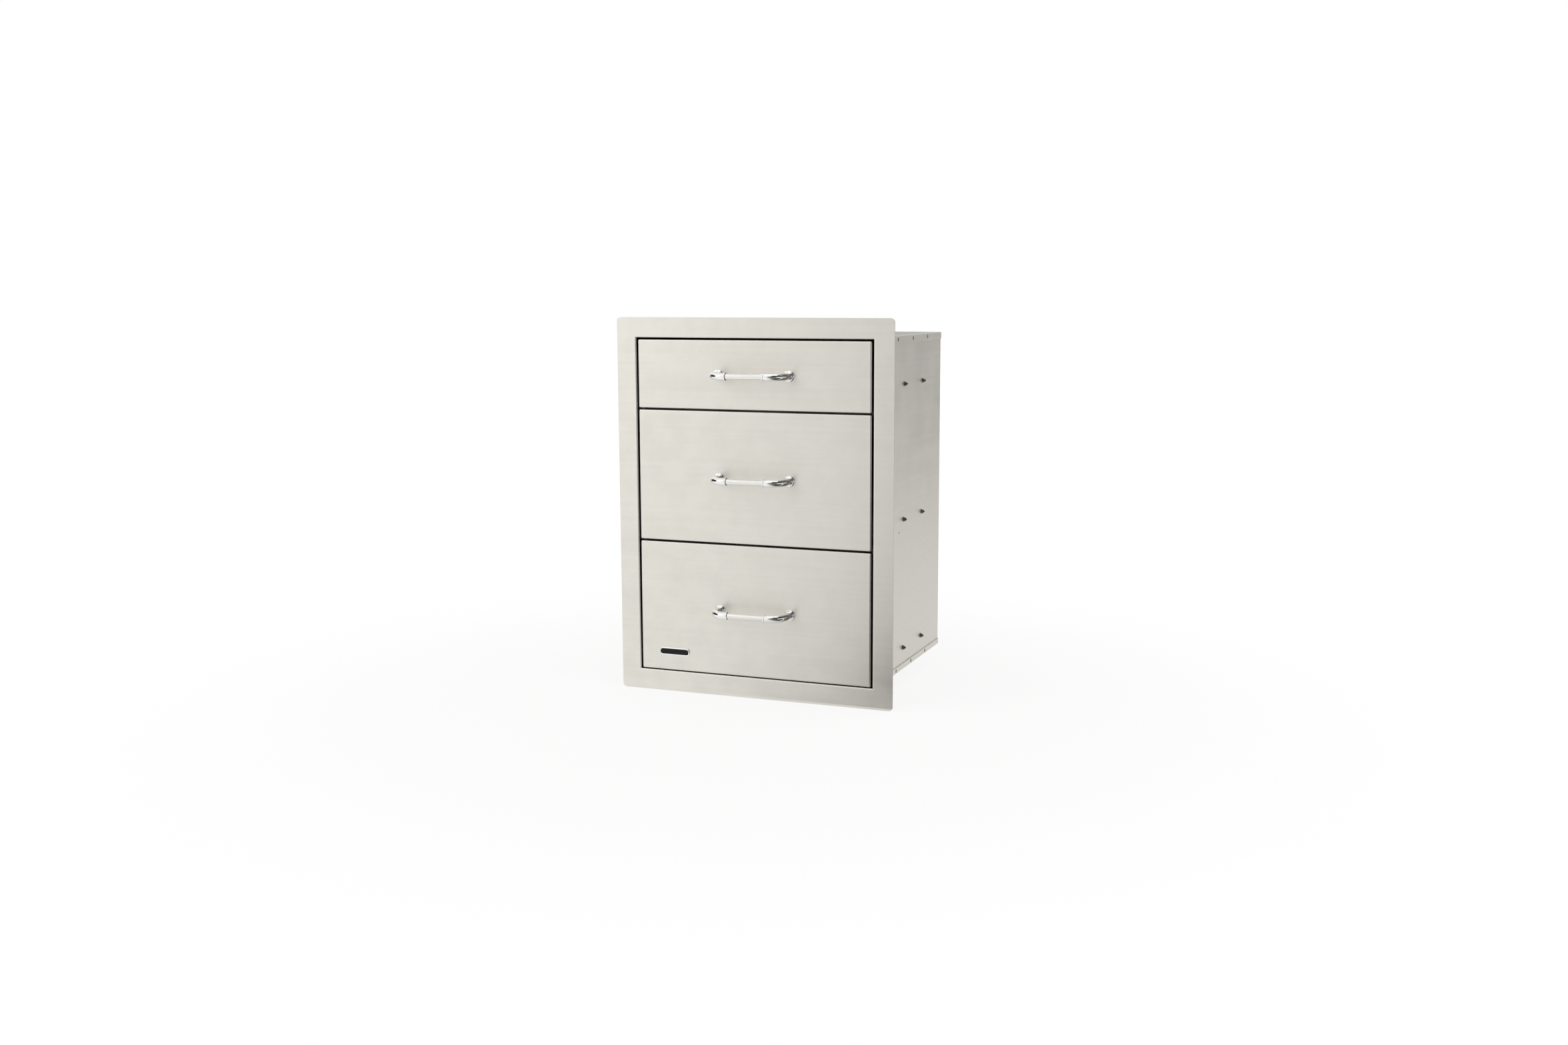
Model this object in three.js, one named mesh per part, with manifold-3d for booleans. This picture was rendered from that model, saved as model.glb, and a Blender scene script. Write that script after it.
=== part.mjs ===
// Outdoor kitchen drawer unit: a flanged stainless body with three drawers on ball-bearing slides.
// Millimetres, +X to the right seen from the front, +Y to the back, +Z up.
// The origin is the middle of the flange's lower bar, on the flange's rear face.

import * as THREE from 'three';
import { mergeVertices } from 'three/addons/utils/BufferGeometryUtils.js';
import Module from 'manifold-3d';

const wasm = await Module();
wasm.setup();

// Face frame: the flange that covers the cut-out's edge, and the jamb folded back from its opening
const flangeWidth = 550;
const flangeHeight = 715;
const flangeSheet = 1.2;
const flangeCornerRadius = 8;
const sideMargin = 39.5;
const bottomMargin = 39.5;
const topMargin = 38;
const jambDepth = 18;

// Body behind the flange: sides and back held between a top and a bottom panel with folded lips
const bodySheet = 1;
const lipSheet = 1.5;
const bodyRearSpace = 49;
const bodyClearance = 0.4;
const topLipHeight = 13.7;
const bottomLipHeight = 12;
const backReturnDepth = 15;
const fixingHoleRadius = 2;
const fixingHoleDepth = 152;
const fixingHoleHeight = 307.5;

// Divider rails between the drawers
const railSetback = 20;
const railHeight = 20;
const railDepth = 25;

// Drawer fronts: a folded skin with a liner let into its back
const frontGap = 3.4;
const bottomGap = 1.8;
const upperFrontHeight = 128.5;
const frontSheet = 1;
const frontThickness = 18;
const frontBendRadius = 1.5;
const frontCornerRadius = 1.2;
const linerReturnDepth = 10;

// Drawer trays
const traySheet = 1;
const trayFloorRise = 10;
const trayHeadroom = 30;
const trayLip = 10;

// Ball-bearing slides, three members deep
const slideLength = 350;
const slideSetback = 22;
const slideHeight = 45;
const slideSheet = 1.2;
const slideGap = 0.3;
const slideTipGap = 1;
const ballRadius = 2.2;
const ballPlay = 0.25;
const cageSheet = 0.7;
const cageEdge = 0.4;
const cageEndMargin = 2.5;
const ballInset = 3.9;
const ballEndInset = 10;
const ballsInRow = 3;
const upperSlideRise = 43.4;
const middleSlideRise = 36;
const lowerSlideRise = 38.4;

// Slide fasteners: a screw through the side panel with a flanged nut outside
const slideScrewRadius = 2;
const slideScrewPlay = 0.3;
const slideScrewInset = 36.8;
const slideScrewPitch = 119;
const slideScrewCount = 3;
const slideScrewTip = 2.6;
const nutWidth = 7;
const nutHeight = 4;
const nutFlangeRadius = 4.7;
const nutFlangeHeight = 0.9;

// Handles: a straight bar held between two cast elbows
const handleSpan = 141;
const handleReach = 43.5;
const handleShift = 2.6;
const upperHandleDrop = 0.5;
const mainHandleDrop = 1.8;
const elbowTubeRadius = 6.9;
const elbowBendRadius = 26;
const barLength = 72;
const barRadius = 5.4;
const socketDepth = 6;
const socketPlay = 0.3;
const collarRadius = 7.7;
const collarWidth = 3.4;
const collarChamfer = 0.4;
const baseRadius = 10.5;
const baseEdgeHeight = 0.8;
const baseShoulderRadius = 9.4;
const baseShoulderHeight = 2.4;
const baseNeckRadius = 7.6;
const baseNeckHeight = 3.4;
const handleScrewRadius = 2.5;
const handleScrewPlay = 0.5;
const handleScrewHeadRadius = 4.8;
const handleScrewHeadHeight = 2.6;

// Blank oval badge on the lowest front
const badgeLength = 64;
const badgeHeight = 15.5;
const badgeThickness = 1.8;
const badgeInset = 36.7;
const badgeRise = 36.3;

// How far a cutting tool runs past the face that it cuts
const cutOverrun = 5;

// Facets around a round piece, and steps along a bend
const holeFacets = 8;
const tubeFacets = 12;
const turnedFacets = 14;
const cornerFacets = 4;
const bendFacets = 3;
const elbowSteps = 12;

// Places worked out from the sizes above
const flangeFaceY = -flangeSheet;
const flangeBottom = -bottomMargin / 2;
const openingHalfWidth = flangeWidth / 2 - sideMargin;
const openingBottom = flangeBottom + bottomMargin;
const openingTop = flangeBottom + flangeHeight - topMargin;

const sideInnerX = openingHalfWidth + flangeSheet;
const sideOuterX = sideInnerX + bodySheet;
const lipOuterX = sideOuterX + lipSheet;
const bodyFloor = openingBottom - flangeSheet;
const bodyCeiling = openingTop + flangeSheet;
const foldReach = bodySheet + lipSheet + bodyClearance;
const bodyFront = foldReach + bodyClearance;
const slideEnd = slideSetback + slideLength;
const sidePanelDepth = slideEnd + bodyRearSpace;
const backOuterY = sidePanelDepth + bodySheet;
const bodyDepth = backOuterY + lipSheet;

const frontHalfWidth = openingHalfWidth - frontGap;
const frontRearY = flangeFaceY + frontThickness;
const mainFrontHeight = (openingTop - openingBottom - 4 * frontGap - upperFrontHeight) / 2;
const lowerFrontHeight = mainFrontHeight + frontGap - bottomGap;

// Slide stack, measured inwards from the side panel
const outerCageAt = slideSheet + slideGap;
const middleMemberAt = outerCageAt + cageSheet + slideGap;
const innerCageAt = middleMemberAt + slideSheet + slideGap;
const innerBallAt = innerCageAt + cageSheet + ballInset;
const innerMemberAt = innerBallAt + ballRadius + cageEdge + slideGap;
const slideThickness = innerMemberAt + slideSheet;
const memberTipAt = innerMemberAt - slideTipGap;
const raceHeight = 2 * (ballRadius + ballPlay);
const middleHalfHeight = slideHeight / 2 - slideSheet - raceHeight;
const innerHalfHeight = middleHalfHeight - slideSheet - raceHeight;
const cageStart = slideSetback + slideLength / 4 + cageEndMargin;
const cageLength = slideLength / 2 - 2 * cageEndMargin;

const trayHalfWidth = sideInnerX - slideThickness;

const lowerFrontBottom = openingBottom + bottomGap;
const middleFrontBottom = lowerFrontBottom + lowerFrontHeight + frontGap;
const upperFrontBottom = middleFrontBottom + mainFrontHeight + frontGap;

const upperHandleRise = upperFrontHeight / 2 - upperHandleDrop;
const mainHandleRise = mainFrontHeight / 2 - mainHandleDrop;
const lowerHandleRise = lowerFrontHeight - mainFrontHeight + mainHandleRise;

const drawers = [
  { name: 'upper', bottom: upperFrontBottom, height: upperFrontHeight, slideRise: upperSlideRise,
    handleRise: upperHandleRise },
  { name: 'middle', bottom: middleFrontBottom, height: mainFrontHeight, slideRise: middleSlideRise,
    handleRise: mainHandleRise },
  { name: 'lower', bottom: lowerFrontBottom, height: lowerFrontHeight, slideRise: lowerSlideRise,
    handleRise: lowerHandleRise },
];
const sides = [
  { name: 'left', sign: -1 },
  { name: 'right', sign: 1 },
];

// Finishes
const brushedSteel = { color: 0xd2cfc6, roughness: 0.42, metalness: 0.85 };
const bodySteel = { color: 0xbdbdb6, roughness: 0.5, metalness: 0.85 };
const polishedChrome = { color: 0xe6e6e4, roughness: 0.1, metalness: 1 };
const satinBar = { color: 0xdad8d0, roughness: 0.3, metalness: 1 };
const zincSlide = { color: 0xb9bdc0, roughness: 0.35, metalness: 0.9 };
const blackEnamel = { color: 0x141414, roughness: 0.25, metalness: 0.1 };

// A closed solid for cutting and joining
function solid(geometry) {
  const bare = geometry.clone();
  bare.deleteAttribute('normal');
  bare.deleteAttribute('uv');
  const merged = mergeVertices(bare);
  const mesh = new wasm.Mesh({
    numProp: 3,
    vertProperties: new Float32Array(merged.attributes.position.array),
    triVerts: new Uint32Array(merged.index.array),
  });
  return new wasm.Manifold(mesh);
}

// Back from a cut or joined solid to a three.js geometry
function geometryOf(manifold) {
  const mesh = manifold.getMesh();
  const geometry = new THREE.BufferGeometry();
  geometry.setAttribute('position', new THREE.BufferAttribute(mesh.vertProperties, mesh.numProp));
  geometry.setIndex(new THREE.BufferAttribute(mesh.triVerts, 1));
  geometry.computeVertexNormals();
  return geometry;
}

function joined(geometries) {
  return geometries.map(solid).reduce((whole, piece) => whole.add(piece));
}

// A block between two corners
function block(low, high) {
  const size = new THREE.Vector3().subVectors(high, low);
  const middle = new THREE.Vector3().addVectors(low, high).divideScalar(2);
  const geometry = new THREE.BoxGeometry(size.x, size.y, size.z);
  return geometry.translate(middle.x, middle.y, middle.z);
}

function corner(x, y, z) {
  return new THREE.Vector3(x, y, z);
}

function outline(points) {
  return new THREE.Shape(points.map(([across, up]) => new THREE.Vector2(across, up)));
}

// An outline drawn in X and Z, carried along Y
function alongY(shape, from, to, arcFacets = holeFacets) {
  const options = { depth: to - from, bevelEnabled: false, curveSegments: arcFacets / 2 };
  return new THREE.ExtrudeGeometry(shape, options).rotateX(Math.PI / 2).translate(0, to, 0);
}

// An outline drawn in Y and Z, carried along X
function alongX(shape, from, to) {
  const options = { depth: to - from, bevelEnabled: false, curveSegments: holeFacets / 2 };
  const turn = new THREE.Matrix4().makeBasis(corner(0, 1, 0), corner(0, 0, 1), corner(1, 0, 0));
  return new THREE.ExtrudeGeometry(shape, options).applyMatrix4(turn).translate(from, 0, 0);
}

// An outline drawn in X and Y, carried along Z
function alongZ(shape, from, to) {
  const options = { depth: to - from, bevelEnabled: false };
  return new THREE.ExtrudeGeometry(shape, options).translate(0, 0, from);
}

// A rod along X or along Y, between two places on its axis
function rodAlongX(radius, from, to, facets) {
  const geometry = new THREE.CylinderGeometry(radius, radius, Math.abs(to - from), facets);
  return geometry.rotateZ(Math.PI / 2).translate((from + to) / 2, 0, 0);
}

function rodAlongY(radius, from, to, facets) {
  const geometry = new THREE.CylinderGeometry(radius, radius, Math.abs(to - from), facets);
  return geometry.translate(0, (from + to) / 2, 0);
}

// A rectangle with round corners, drawn anticlockwise
function roundedRectangle(halfWidth, bottom, top, radius) {
  const shape = new THREE.Shape();
  shape.moveTo(halfWidth, top - radius);
  shape.absarc(halfWidth - radius, top - radius, radius, 0, Math.PI / 2);
  shape.absarc(radius - halfWidth, top - radius, radius, Math.PI / 2, Math.PI);
  shape.absarc(radius - halfWidth, bottom + radius, radius, Math.PI, 1.5 * Math.PI);
  shape.absarc(halfWidth - radius, bottom + radius, radius, 1.5 * Math.PI, 2 * Math.PI);
  shape.closePath();
  return shape;
}

function rectangle(halfWidth, bottom, top) {
  return outline([[-halfWidth, bottom], [halfWidth, bottom], [halfWidth, top], [-halfWidth, top]]);
}

function roundHole(across, up, radius) {
  const path = new THREE.Path();
  path.absarc(across, up, radius, 0, 2 * Math.PI);
  return path;
}

function addPart(group, name, geometry, finish) {
  const mesh = new THREE.Mesh(geometry, new THREE.MeshStandardMaterial(finish));
  mesh.name = name;
  group.add(mesh);
  return mesh;
}

// Flange plate with its opening, the jamb folded back all round the opening, and the fold's inside
// corner, which keeps the body's panels clear of the flange's flat rear face
function faceFrame() {
  const plate = roundedRectangle(
    flangeWidth / 2, flangeBottom, flangeBottom + flangeHeight, flangeCornerRadius);
  const jamb = rectangle(sideInnerX, bodyFloor, bodyCeiling);
  const foldOptions = {
    depth: foldReach, bevelThickness: foldReach, bevelSize: foldReach, bevelSegments: 1,
  };
  const fold = new THREE.ExtrudeGeometry(jamb, foldOptions).rotateX(Math.PI / 2);
  const opening = block(
    corner(-openingHalfWidth, -bodyDepth, openingBottom),
    corner(openingHalfWidth, bodyDepth, openingTop));
  const ahead = block(
    corner(-flangeWidth, -bodyDepth, flangeBottom),
    corner(flangeWidth, flangeFaceY, flangeBottom + flangeHeight));
  const whole = joined([alongY(plate, flangeFaceY, 0), alongY(jamb, flangeFaceY, jambDepth), fold]);
  return geometryOf(whole.subtract(solid(opening)).subtract(solid(ahead)));
}

// Where each slide's centre line lies above the origin
function slideCentre(drawer) {
  return drawer.bottom + drawer.slideRise;
}

function slideScrewPlaces() {
  return Array.from({ length: slideScrewCount },
    (_, index) => slideSetback + slideScrewInset + index * slideScrewPitch);
}

// Flat side panel with the slide screws' clearance holes and one fixing hole
function sidePanel(sign) {
  const sheet = outline([
    [bodyFront, bodyFloor], [sidePanelDepth, bodyFloor], [sidePanelDepth, bodyCeiling],
    [bodyFront, bodyCeiling]]);
  for (const drawer of drawers) {
    for (const place of slideScrewPlaces()) {
      sheet.holes.push(roundHole(place, slideCentre(drawer), slideScrewRadius + slideScrewPlay));
    }
  }
  sheet.holes.push(roundHole(fixingHoleDepth, flangeBottom + fixingHoleHeight, fixingHoleRadius));
  return alongX(sheet, Math.min(sign * sideInnerX, sign * sideOuterX),
    Math.max(sign * sideInnerX, sign * sideOuterX));
}

// Top or bottom panel: a sheet with a lip folded over each side panel and over the back
function lippedPanel(seat, direction, lipHeight) {
  const outside = seat + direction * lipSheet;
  const lipEdge = outside - direction * lipHeight;
  const section = outline([
    [-lipOuterX, outside], [-lipOuterX, lipEdge], [-sideOuterX, lipEdge], [-sideOuterX, seat],
    [sideOuterX, seat], [sideOuterX, lipEdge], [lipOuterX, lipEdge], [lipOuterX, outside]]);
  const rearLip = block(
    corner(-lipOuterX, backOuterY, Math.min(outside, lipEdge)),
    corner(lipOuterX, bodyDepth, Math.max(outside, lipEdge)));
  return geometryOf(joined([alongY(section, bodyFront, bodyDepth), rearLip]));
}

// Back panel: it covers the side panels' rear edges and has a return inside each of them
function backPanel() {
  const returnInnerX = sideInnerX - bodySheet;
  const returnFront = sidePanelDepth - backReturnDepth;
  const section = outline([
    [-sideOuterX, backOuterY], [-sideOuterX, sidePanelDepth], [-sideInnerX, sidePanelDepth],
    [-sideInnerX, returnFront], [-returnInnerX, returnFront], [-returnInnerX, sidePanelDepth],
    [returnInnerX, sidePanelDepth], [returnInnerX, returnFront], [sideInnerX, returnFront],
    [sideInnerX, sidePanelDepth], [sideOuterX, sidePanelDepth], [sideOuterX, backOuterY]]);
  return alongZ(section, bodyFloor, bodyCeiling);
}

// Divider rail: a channel across the body behind the gap between two fronts
function dividerRail() {
  const rear = railSetback + railDepth;
  const webRear = railSetback + bodySheet;
  const half = railHeight / 2;
  const section = outline([
    [railSetback, -half], [rear, -half], [rear, bodySheet - half], [webRear, bodySheet - half],
    [webRear, half - bodySheet], [rear, half - bodySheet], [rear, half], [railSetback, half]]);
  return alongX(section, -sideInnerX, sideInnerX);
}

// Channel section of a slide member or a ball cage: a web with two flanges that end at the tip,
// all measured inwards from the side panel
function slideChannel(sign, webAt, tipAt, halfHeight, sheet) {
  const webInside = webAt + Math.sign(tipAt - webAt) * sheet;
  const across = (place) => sign * (sideInnerX - place);
  return outline([
    [across(webAt), -halfHeight], [across(tipAt), -halfHeight], [across(tipAt), sheet - halfHeight],
    [across(webInside), sheet - halfHeight], [across(webInside), halfHeight - sheet],
    [across(tipAt), halfHeight - sheet], [across(tipAt), halfHeight], [across(webAt), halfHeight]]);
}

// Outer member with its screws, which pass through the side panel to flanged nuts outside
function outerSlide(sign) {
  const channel = alongY(
    slideChannel(sign, 0, memberTipAt, slideHeight / 2, slideSheet), slideSetback, slideEnd);
  const nutEnd = sideOuterX + nutHeight;
  const pieces = [channel];
  for (const place of slideScrewPlaces()) {
    const screw = rodAlongX(slideScrewRadius, sign * (sideInnerX - slideSheet / 2),
      sign * (nutEnd + slideScrewTip), holeFacets);
    const nutFlange = rodAlongX(
      nutFlangeRadius, sign * sideOuterX, sign * (sideOuterX + nutFlangeHeight), holeFacets);
    const nut = rodAlongX(nutWidth / Math.sqrt(3), sign * sideOuterX, sign * nutEnd, 6);
    pieces.push(screw.translate(0, place, 0), nutFlange.translate(0, place, 0), nut.translate(0, place, 0));
  }
  return geometryOf(joined(pieces));
}

function middleSlide(sign) {
  return alongY(slideChannel(sign, middleMemberAt, memberTipAt, middleHalfHeight, slideSheet),
    slideSetback, slideEnd);
}

// Inner member: its web lies on the tray's side and its flanges reach back into the slide
function innerSlide(sign) {
  const tipAt = innerBallAt - ballRadius - cageEdge;
  return alongY(slideChannel(sign, slideThickness, tipAt, innerHalfHeight, slideSheet),
    slideSetback, slideEnd);
}

// Ball cage: a thin channel with a row of balls in each flange, under the race at raceTop
function ballCage(sign, webAt, raceTop) {
  const ballAt = webAt + cageSheet + ballInset;
  const ballHeight = raceTop - raceHeight / 2;
  const strip = slideChannel(
    sign, webAt, ballAt + ballRadius + cageEdge, ballHeight + cageSheet / 2, cageSheet);
  const pieces = [alongY(strip, cageStart, cageStart + cageLength)];
  const pitch = (cageLength - 2 * ballEndInset) / (ballsInRow - 1);
  for (let index = 0; index < ballsInRow; index += 1) {
    for (const level of [-ballHeight, ballHeight]) {
      const ball = new THREE.SphereGeometry(ballRadius, 6, 4);
      pieces.push(ball.translate(
        sign * (sideInnerX - ballAt), cageStart + ballEndInset + index * pitch, level));
    }
  }
  return geometryOf(joined(pieces));
}

// A block with rounded front edges, as a folded pan's outside or inside
function pan(halfWidth, bottom, top, front, rear, cornerRadius, bend) {
  const shape = roundedRectangle(halfWidth - bend, bottom + bend, top - bend, cornerRadius);
  const options = {
    depth: rear - front,
    bevelThickness: bend,
    bevelSize: bend,
    bevelSegments: bendFacets,
    curveSegments: cornerFacets / 2,
  };
  const whole = new THREE.ExtrudeGeometry(shape, options).rotateX(Math.PI / 2);
  whole.translate(0, rear + bend, 0);
  const beyond = block(
    corner(-halfWidth - cutOverrun, rear, bottom - cutOverrun),
    corner(halfWidth + cutOverrun, rear + 2 * bend + cutOverrun, top + cutOverrun));
  return solid(whole).subtract(solid(beyond));
}

function handleScrewHoles(handleRise, from, to) {
  return sides.map(({ sign }) => {
    const hole = rodAlongY(handleScrewRadius + handleScrewPlay, from, to, holeFacets);
    return solid(hole.translate(handleShift + sign * handleSpan / 2, 0, handleRise));
  });
}

// Front skin: the face with its four edges folded back, and the handle screws' holes
function frontSkin(height, handleRise) {
  const outside = pan(
    frontHalfWidth, 0, height, flangeFaceY, frontRearY, frontCornerRadius, frontBendRadius);
  const inside = pan(
    frontHalfWidth - frontSheet, frontSheet, height - frontSheet, flangeFaceY + frontSheet,
    frontRearY + cutOverrun, frontCornerRadius, frontBendRadius - frontSheet);
  const holes = handleScrewHoles(handleRise, flangeFaceY - cutOverrun, frontRearY);
  return geometryOf(holes.reduce((rest, hole) => rest.subtract(hole), outside.subtract(inside)));
}

// Front liner: a shallow pan let into the skin's back, with its rim turned forwards
function frontLiner(height, handleRise) {
  const rimFront = frontRearY - linerReturnDepth;
  const outerRadius = frontCornerRadius + frontBendRadius - frontSheet;
  const rim = (inset) => roundedRectangle(
    frontHalfWidth - inset, inset, height - inset, outerRadius + frontSheet - inset);
  const whole = alongY(rim(frontSheet), rimFront, frontRearY, cornerFacets);
  const hollow = alongY(
    rim(2 * frontSheet), rimFront - cutOverrun, frontRearY - frontSheet, cornerFacets);
  const holes = handleScrewHoles(handleRise, rimFront, frontRearY + cutOverrun);
  return geometryOf(
    holes.reduce((rest, hole) => rest.subtract(hole), solid(whole).subtract(solid(hollow))));
}

// Tray: floor and sides folded from one sheet, with a lip turned in along each side's top
function tray(height) {
  const floor = trayFloorRise;
  const top = height - trayHeadroom;
  const inner = trayHalfWidth - traySheet;
  const lipEdge = trayHalfWidth - trayLip;
  const section = outline([
    [-trayHalfWidth, floor], [trayHalfWidth, floor], [trayHalfWidth, top], [lipEdge, top],
    [lipEdge, top - traySheet], [inner, top - traySheet], [inner, floor + traySheet],
    [-inner, floor + traySheet], [-inner, top - traySheet], [-lipEdge, top - traySheet],
    [-lipEdge, top], [-trayHalfWidth, top]]);
  return alongY(section, frontRearY, slideEnd);
}

// Tray back: it stands between the sides under their lips, with its own lip turned forwards
function trayBack(height) {
  const floor = trayFloorRise + traySheet;
  const top = height - trayHeadroom - traySheet;
  const section = outline([
    [slideEnd - traySheet, floor], [slideEnd, floor], [slideEnd, top], [slideEnd - trayLip, top],
    [slideEnd - trayLip, top - traySheet], [slideEnd - traySheet, top - traySheet]]);
  return alongX(section, traySheet - trayHalfWidth, trayHalfWidth - traySheet);
}

// The elbow's centre line: out from the face, round a quarter bend, and in towards the bar
class ElbowLine extends THREE.Curve {
  constructor(sign, start) {
    super();
    this.sign = sign;
    this.start = start;
    this.post = handleReach - elbowBendRadius - start;
    this.bend = elbowBendRadius * Math.PI / 2;
    this.run = handleSpan / 2 - elbowBendRadius - barLength / 2;
  }

  getPoint(share) {
    const along = share * (this.post + this.bend + this.run);
    const turned = THREE.MathUtils.clamp((along - this.post) / elbowBendRadius, 0, Math.PI / 2);
    const straight = Math.min(along, this.post);
    const inwards = Math.max(0, along - this.post - this.bend);
    const outwards = this.start + straight + elbowBendRadius * Math.sin(turned);
    const across = handleSpan / 2 - elbowBendRadius * (1 - Math.cos(turned)) - inwards;
    return corner(this.sign * across, flangeFaceY - outwards, 0);
  }
}

function turned(profile) {
  const points = profile.map(([radius, along]) => new THREE.Vector2(radius, along));
  return new THREE.LatheGeometry(points, turnedFacets);
}

// Handle end: base, elbow and collar cast in one, with its mounting screw through front and liner
function handleEnd(sign, handleRise) {
  const line = new ElbowLine(sign, baseEdgeHeight);
  const ring = new THREE.Shape();
  ring.absarc(0, 0, elbowTubeRadius, 0, 2 * Math.PI);
  const tube = new THREE.ExtrudeGeometry(
    ring, { steps: elbowSteps, curveSegments: tubeFacets / 2, extrudePath: line });

  const base = turned([
    [0, 0], [baseRadius, 0], [baseRadius, baseEdgeHeight], [baseShoulderRadius, baseShoulderHeight],
    [baseNeckRadius, baseNeckHeight], [0, baseNeckHeight]]);
  base.rotateX(Math.PI).translate(sign * handleSpan / 2, flangeFaceY, 0);

  const collar = turned([
    [0, 0], [collarRadius - collarChamfer, 0], [collarRadius, collarChamfer],
    [collarRadius, collarWidth - collarChamfer], [elbowTubeRadius, collarWidth], [0, collarWidth]]);
  collar.rotateZ(-sign * Math.PI / 2).translate(sign * barLength / 2, flangeFaceY - handleReach, 0);

  const screw = rodAlongY(handleScrewRadius, flangeFaceY - baseShoulderHeight,
    frontRearY + handleScrewHeadHeight / 2, holeFacets);
  const head = rodAlongY(
    handleScrewHeadRadius, frontRearY, frontRearY + handleScrewHeadHeight, holeFacets);
  for (const piece of [screw, head]) {
    piece.translate(sign * handleSpan / 2, 0, 0);
  }

  const socketEnd = barLength / 2 + socketDepth;
  const socket = rodAlongX(
    barRadius + socketPlay, sign * (barLength / 2 - cutOverrun), sign * socketEnd, turnedFacets);
  socket.translate(0, flangeFaceY - handleReach, 0);

  const whole = joined([tube, base, collar, screw, head]).subtract(solid(socket));
  return geometryOf(whole).translate(handleShift, 0, handleRise);
}

function handleBar(handleRise) {
  const half = barLength / 2 + socketDepth - socketPlay;
  return rodAlongX(barRadius, -half, half, turnedFacets)
    .translate(handleShift, flangeFaceY - handleReach, handleRise);
}

// Blank badge: a flat bar with round ends
function badge() {
  const halfHeight = badgeHeight / 2;
  const left = badgeInset - frontHalfWidth;
  const shape = new THREE.Shape();
  shape.absarc(left + badgeLength - halfHeight, badgeRise, halfHeight, -Math.PI / 2, Math.PI / 2);
  shape.absarc(left + halfHeight, badgeRise, halfHeight, Math.PI / 2, 1.5 * Math.PI);
  shape.closePath();
  return alongY(shape, flangeFaceY - badgeThickness, flangeFaceY);
}

// The body, with the outer slide members that stay in it
function cabinet() {
  const group = new THREE.Group();
  addPart(group, 'face_frame', faceFrame(), brushedSteel);
  for (const { name, sign } of sides) {
    addPart(group, `${name}_side_panel`, sidePanel(sign), bodySteel);
  }
  addPart(group, 'top_panel', lippedPanel(bodyCeiling, 1, topLipHeight), bodySteel);
  addPart(group, 'bottom_panel', lippedPanel(bodyFloor, -1, bottomLipHeight), bodySteel);
  addPart(group, 'back_panel', backPanel(), bodySteel);
  addPart(group, 'upper_divider_rail', dividerRail(), bodySteel)
    .position.set(0, 0, upperFrontBottom - frontGap / 2);
  addPart(group, 'lower_divider_rail', dividerRail(), bodySteel)
    .position.set(0, 0, middleFrontBottom - frontGap / 2);
  for (const drawer of drawers) {
    for (const { name, sign } of sides) {
      addPart(group, `${drawer.name}_${name}_outer_slide`, outerSlide(sign), zincSlide)
        .position.set(0, 0, slideCentre(drawer));
    }
  }
  return group;
}

// One drawer, drawn from its front's lower edge up, with the slide members and cages that follow it
function drawerUnit({ name, bottom, height, slideRise, handleRise }) {
  const group = new THREE.Group();
  group.position.set(0, 0, bottom);
  addPart(group, `${name}_drawer_front`, frontSkin(height, handleRise), brushedSteel);
  addPart(group, `${name}_front_liner`, frontLiner(height, handleRise), bodySteel);
  addPart(group, `${name}_tray`, tray(height), bodySteel);
  addPart(group, `${name}_tray_back`, trayBack(height), bodySteel);
  addPart(group, `${name}_handle_bar`, handleBar(handleRise), satinBar);
  for (const side of sides) {
    addPart(group, `${name}_${side.name}_handle_end`, handleEnd(side.sign, handleRise), polishedChrome);
    const members = [
      ['inner_slide', innerSlide(side.sign)],
      ['middle_slide', middleSlide(side.sign)],
      ['outer_ball_cage', ballCage(side.sign, outerCageAt, slideHeight / 2 - slideSheet)],
      ['inner_ball_cage', ballCage(side.sign, innerCageAt, middleHalfHeight - slideSheet)],
    ];
    for (const [piece, geometry] of members) {
      addPart(group, `${name}_${side.name}_${piece}`, geometry, zincSlide)
        .position.set(0, 0, slideRise);
    }
  }
  return group;
}

const drawerUnitGroup = new THREE.Group();
drawerUnitGroup.add(cabinet());
for (const drawer of drawers) {
  const unit = drawerUnit(drawer);
  if (drawer.name === 'lower') {
    addPart(unit, 'blank_badge', badge(), blackEnamel);
  }
  drawerUnitGroup.add(unit);
}

export default drawerUnitGroup;
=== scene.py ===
import math

import bmesh
import bpy
import numpy as np
from mathutils import Matrix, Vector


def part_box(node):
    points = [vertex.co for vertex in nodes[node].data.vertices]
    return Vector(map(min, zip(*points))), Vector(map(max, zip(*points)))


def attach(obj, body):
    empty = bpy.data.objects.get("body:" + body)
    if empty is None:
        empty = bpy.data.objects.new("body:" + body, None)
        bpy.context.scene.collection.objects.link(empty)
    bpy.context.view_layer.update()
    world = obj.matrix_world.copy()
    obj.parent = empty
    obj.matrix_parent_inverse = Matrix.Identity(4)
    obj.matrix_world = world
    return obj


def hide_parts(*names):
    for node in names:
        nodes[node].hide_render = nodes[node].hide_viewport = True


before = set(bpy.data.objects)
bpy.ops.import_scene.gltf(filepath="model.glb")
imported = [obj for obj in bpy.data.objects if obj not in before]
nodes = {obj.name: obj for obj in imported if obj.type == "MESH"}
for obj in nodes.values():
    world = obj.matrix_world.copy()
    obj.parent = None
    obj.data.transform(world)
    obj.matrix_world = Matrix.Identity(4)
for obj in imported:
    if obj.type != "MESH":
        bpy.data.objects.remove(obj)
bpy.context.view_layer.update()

# Outdoor kitchen drawer unit: folded stainless body, three drawers on ball-bearing slides, chrome handles.
# Metres, +X to the right seen from the front, +Y to the back, +Z up.

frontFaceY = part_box("face_frame")[0][1]
drawers = ("upper", "middle", "lower")
rails = ("upper", "lower")
sideSigns = {"left": -1, "right": 1}
signs = tuple(sideSigns.values())

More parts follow.
